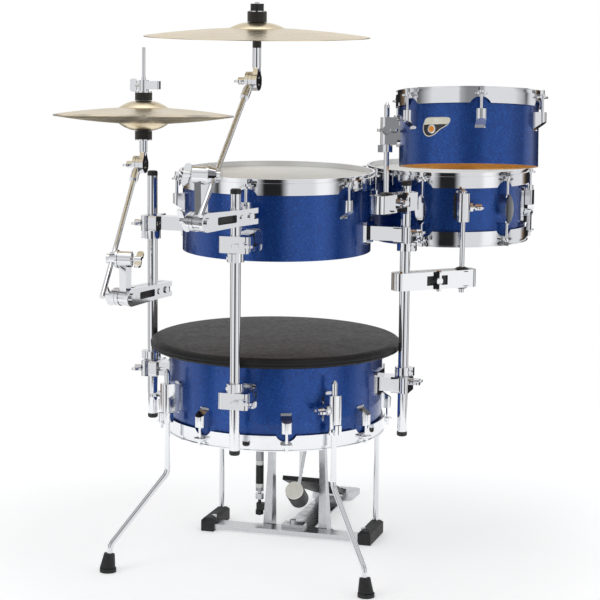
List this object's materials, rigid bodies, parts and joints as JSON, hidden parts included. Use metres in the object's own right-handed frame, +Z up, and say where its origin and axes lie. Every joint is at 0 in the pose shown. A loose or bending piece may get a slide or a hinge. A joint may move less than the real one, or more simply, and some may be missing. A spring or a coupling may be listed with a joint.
{
  "type": "acoustic drum kit",
  "caption": "Compact stand-up drum kit: flat padded bass drum struck from below by a pedal, with floor tom, tom, snare, crash and hi-hat carried on posts above it.",
  "frame": {"origin": "bottom centre of the whole kit's bounding box, on the floor", "axes": "+Z up; -Y towards the audience, +Y towards the player and the pedal's heel; +X to the tom and snare side"},
  "size_m": [1, 0.8916, 1.0495],
  "materials": {
    "chrome": "polished plating",
    "blue_lacquer": "deep blue sparkle lacquer over a wood shell",
    "head_film": "coated drum film",
    "clear_film": "hazy drum film",
    "rubber": "matte",
    "cover": "matte black vinyl-coated fabric",
    "board": "plain board",
    "bronze": "lathed cymbal bronze",
    "felt": "black felt",
    "black_plastic": "moulded",
    "aluminium": "extruded, satin",
    "cast": "die-cast, satin",
    "steel": "bright steel",
    "black_paint": "black powder coat",
    "cream_felt": "hard felt"
  },
  "bodies": {
    "base": {"legs": "chrome", "feet": "rubber", "base_bar": "aluminium", "pedal_base": "cast", "pedal_uprights": "cast", "pedal_spring": "steel", "pedal_chain": "steel"},
    "footboard": {"footboard": "black_paint"},
    "beater": {"beater_axle": "chrome", "beater_head": "black_plastic", "beater_face": "cream_felt"},
    "bass_drum": {"bass_shell": "blue_lacquer", "bass_head": "clear_film", "bass_hoop": "chrome", "bass_lugs": "chrome", "bass_brackets": "chrome", "bass_bolts": "chrome", "pad_board": "board", "pad_cover": "cover"},
    "rack": {"posts": "chrome", "post_caps": "black_plastic", "floor_tom_shell": "blue_lacquer", "floor_tom_head": "head_film", "floor_tom_hoop": "chrome", "floor_tom_lugs": "chrome", "floor_tom_brackets": "chrome", "rack_bolts": "chrome", "tom_clamp": "chrome", "snare_clamp": "chrome"},
    "tom_rod": {"tom_arm": "chrome"},
    "tom": {"tom_shell": "blue_lacquer", "tom_head": "head_film", "tom_hoop": "chrome", "tom_lugs": "chrome", "tom_bracket": "chrome"},
    "snare_rod": {"snare_arm": "chrome"},
    "snare": {"snare_shell": "blue_lacquer", "snare_heads": "head_film", "snare_hoops": "chrome", "snare_lugs": "chrome", "snare_bracket": "chrome", "snare_strainer": "chrome", "snare_wires": "steel"},
    "strainer": {"strainer_lever": "chrome"},
    "crash_mount": {"crash_clamp": "chrome"},
    "crash_ratchet": {"crash_arm": "chrome"},
    "crash_boom_rod": {"crash_boom": "chrome"},
    "crash_tilt_head": {"crash_tilter": "chrome", "crash_felts": "felt", "crash_nut": "black_plastic"},
    "crash": {"crash_cymbal": "bronze"},
    "hat_mount": {"hat_clamp": "chrome"},
    "hat_ratchet": {"hat_arm": "chrome"},
    "hat_boom_rod": {"hat_boom": "chrome"},
    "hat_tilt_head": {"hat_tilter": "chrome", "hat_felts": "felt", "hat_bottom": "bronze"},
    "hat_top_set": {"hat_clutch": "chrome", "hat_pads": "felt", "hat_top": "bronze"}
  },
  "joints": [
    {"name": "bass_height", "type": "slide", "parent": "base", "child": "bass_drum", "axis": [0, 0, 1], "range_m": [0, 0.04]},
    {"name": "rack_height", "type": "slide", "parent": "bass_drum", "child": "rack", "axis": [0, 0, 1], "range_m": [-0.05, 0.05]},
    {"name": "footboard_press", "type": "hinge", "parent": "base", "child": "footboard", "pos_m": [-0.00319, 0.36581, 0.02], "axis": [1, 0, 0], "range_deg": [0, 5.8], "deforming": ["pedal_chain"]},
    {"name": "beater_swing", "type": "hinge", "parent": "base", "child": "beater", "pos_m": [0.02181, 0.10581, 0.215], "axis": [-1, 0, 0], "range_deg": [0, 57.1], "stiffness_Nm_per_rad": 1, "springref_deg": -28.65, "deforming": ["pedal_spring"]},
    {"name": "crash_swivel", "type": "hinge", "parent": "rack", "child": "crash_mount", "pos_m": [-0.01019, -0.27419, 0.673], "axis": [0, 0, 1], "range_deg": [0, 30]},
    {"name": "crash_arm_tilt", "type": "hinge", "parent": "crash_mount", "child": "crash_ratchet", "pos_m": [-0.04378, -0.36412, 0.673], "axis": [0.9368, -0.3499, 0], "range_deg": [-5, 5]},
    {"name": "crash_boom_tilt", "type": "hinge", "parent": "crash_ratchet", "child": "crash_boom_rod", "pos_m": [-0.04378, -0.36412, 0.75549], "axis": [1, 0, 0], "range_deg": [-4, 8]},
    {"name": "crash_tilt", "type": "hinge", "parent": "crash_boom_rod", "child": "crash_tilt_head", "pos_m": [-0.00619, -0.16919, 0.908], "axis": [1, 0, 0], "range_deg": [-10, 10]},
    {"name": "crash_spin", "type": "hinge", "parent": "crash_tilt_head", "child": "crash", "pos_m": [-0.00619, -0.16919, 0.987], "axis": [0, 0, 1], "continuous": true},
    {"name": "hat_swivel", "type": "hinge", "parent": "rack", "child": "hat_mount", "pos_m": [-0.26019, -0.02419, 0.491], "axis": [0, 0, 1], "range_deg": [-25, 25]},
    {"name": "hat_arm_tilt", "type": "hinge", "parent": "hat_mount", "child": "hat_ratchet", "pos_m": [-0.28098, -0.11637, 0.491], "axis": [0.9755, -0.22, 0], "range_deg": [-10, 10]},
    {"name": "hat_boom_tilt", "type": "hinge", "parent": "hat_ratchet", "child": "hat_boom_rod", "pos_m": [-0.28098, -0.11637, 0.56379], "axis": [-0.9916, -0.129, 0], "range_deg": [-8, 8]},
    {"name": "hat_tilt", "type": "hinge", "parent": "hat_boom_rod", "child": "hat_tilt_head", "pos_m": [-0.32031, 0.08538, 0.72393], "axis": [0.9998, 0.0013, 0.0196], "range_deg": [-12, 12]},
    {"name": "hat_lift", "type": "slide", "parent": "hat_tilt_head", "child": "hat_top_set", "axis": [-0.0196, 0.067, 0.9976], "range_m": [0, 0.045]},
    {"name": "tom_lift", "type": "slide", "parent": "rack", "child": "tom_rod", "axis": [-0.039, 0.1335, 0.9903], "range_m": [0, 0.04]},
    {"name": "tom_turn", "type": "hinge", "parent": "tom_rod", "child": "tom", "pos_m": [0.20995, -0.06166, 0.81706], "axis": [-0.039, 0.1335, 0.9903], "range_deg": [-30, 0]},
    {"name": "snare_lift", "type": "slide", "parent": "rack", "child": "snare_rod", "axis": [0, 0, 1], "range_m": [-0.02, 0]},
    {"name": "snare_turn", "type": "hinge", "parent": "snare_rod", "child": "snare", "pos_m": [0.33081, 0.05681, 0.67], "axis": [0, 0, 1], "range_deg": [-10, 0]},
    {"name": "strainer_throw", "type": "hinge", "parent": "snare", "child": "strainer", "pos_m": [0.42866, 0.20734, 0.6475], "axis": [-0.0819, -0.9966, 0], "range_deg": [0, 70]}
  ],
  "couplings": [
    {"joint": "beater_swing", "follows": "footboard_press", "ratio": 9.8276}
  ]
}
